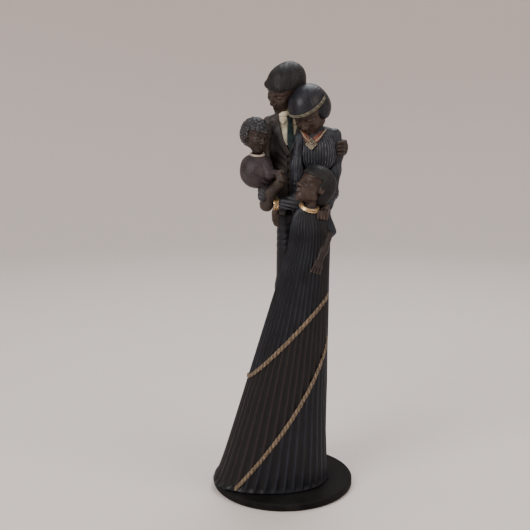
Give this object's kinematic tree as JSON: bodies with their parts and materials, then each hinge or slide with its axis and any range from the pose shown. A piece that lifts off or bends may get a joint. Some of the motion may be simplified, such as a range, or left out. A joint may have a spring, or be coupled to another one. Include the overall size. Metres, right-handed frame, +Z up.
{
  "type": "family group statuette",
  "caption": "Tall slender statuette of a standing family: a couple, a small child held in the arm and a girl in a long pleated gown, on a round flat base.",
  "frame": {"origin": "centre of the underside of the felt, on the surface that the statuette stands on", "axes": "+X to the viewer's right, +Y towards the back of the group, +Z up"},
  "size_m": [0.1275, 0.127, 0.3777],
  "materials": {
    "base_paint": "near-black satin paint with worn brown edges",
    "felt": "dark green felt",
    "screw": "plain countersunk screws",
    "gown_paint": "blue-black and brown-black satin paint over sharp pleats",
    "rope_gold": "antique bronze paint on a rope texture",
    "trouser_paint": "smooth near-black satin paint",
    "skirt_paint": "blue-charcoal satin paint over pleats",
    "jacket_paint": "warm dark grey satin paint",
    "shirt_paint": "cream paint",
    "tie_paint": "green-black paint",
    "skin_paint": "deep brown satin paint with lighter rubbed highlights",
    "hair_paint": "black satin paint with a dry-brushed grain",
    "bead_paint": "pale gold-grey beads",
    "necklace_paint": "terracotta patches with gold edges",
    "bright_gold": "bright gold paint",
    "sweater_paint": "aubergine-brown satin paint over a knit texture",
    "blue_grey_paint": "blue-grey satin paint",
    "collar_paint": "off-white paint"
  },
  "bodies": {
    "root": {"base": "base_paint", "base_felt": "felt", "base_screws": "screw", "gown": "gown_paint", "gown_band_upper": "rope_gold", "gown_band_lower": "rope_gold", "father_trousers": "trouser_paint", "mother_skirt": "skirt_paint", "father_jacket": "jacket_paint", "father_shirt": "shirt_paint", "father_tie": "tie_paint", "father_head": "skin_paint", "father_hair": "hair_paint", "father_right_sleeve": "jacket_paint", "father_right_hand": "skin_paint", "father_left_sleeve": "jacket_paint", "father_left_hand": "skin_paint", "mother_bodice": "skirt_paint", "mother_head": "skin_paint", "mother_hair": "hair_paint", "mother_headband": "bead_paint", "mother_necklace": "necklace_paint", "mother_right_sleeve": "skirt_paint", "mother_bracelet": "bright_gold", "mother_right_hand": "skin_paint", "mother_left_sleeve": "skirt_paint", "mother_left_hand": "skin_paint", "toddler_sweater": "sweater_paint", "toddler_sleeve": "sweater_paint", "toddler_hand": "skin_paint", "toddler_trousers": "blue_grey_paint", "toddler_collar": "collar_paint", "toddler_head": "skin_paint", "toddler_hair": "hair_paint", "daughter_head": "skin_paint", "daughter_hair": "hair_paint", "daughter_collar": "bright_gold", "daughter_left_sleeve": "gown_paint", "daughter_left_forearm": "skin_paint"}
  },
  "joints": []
}
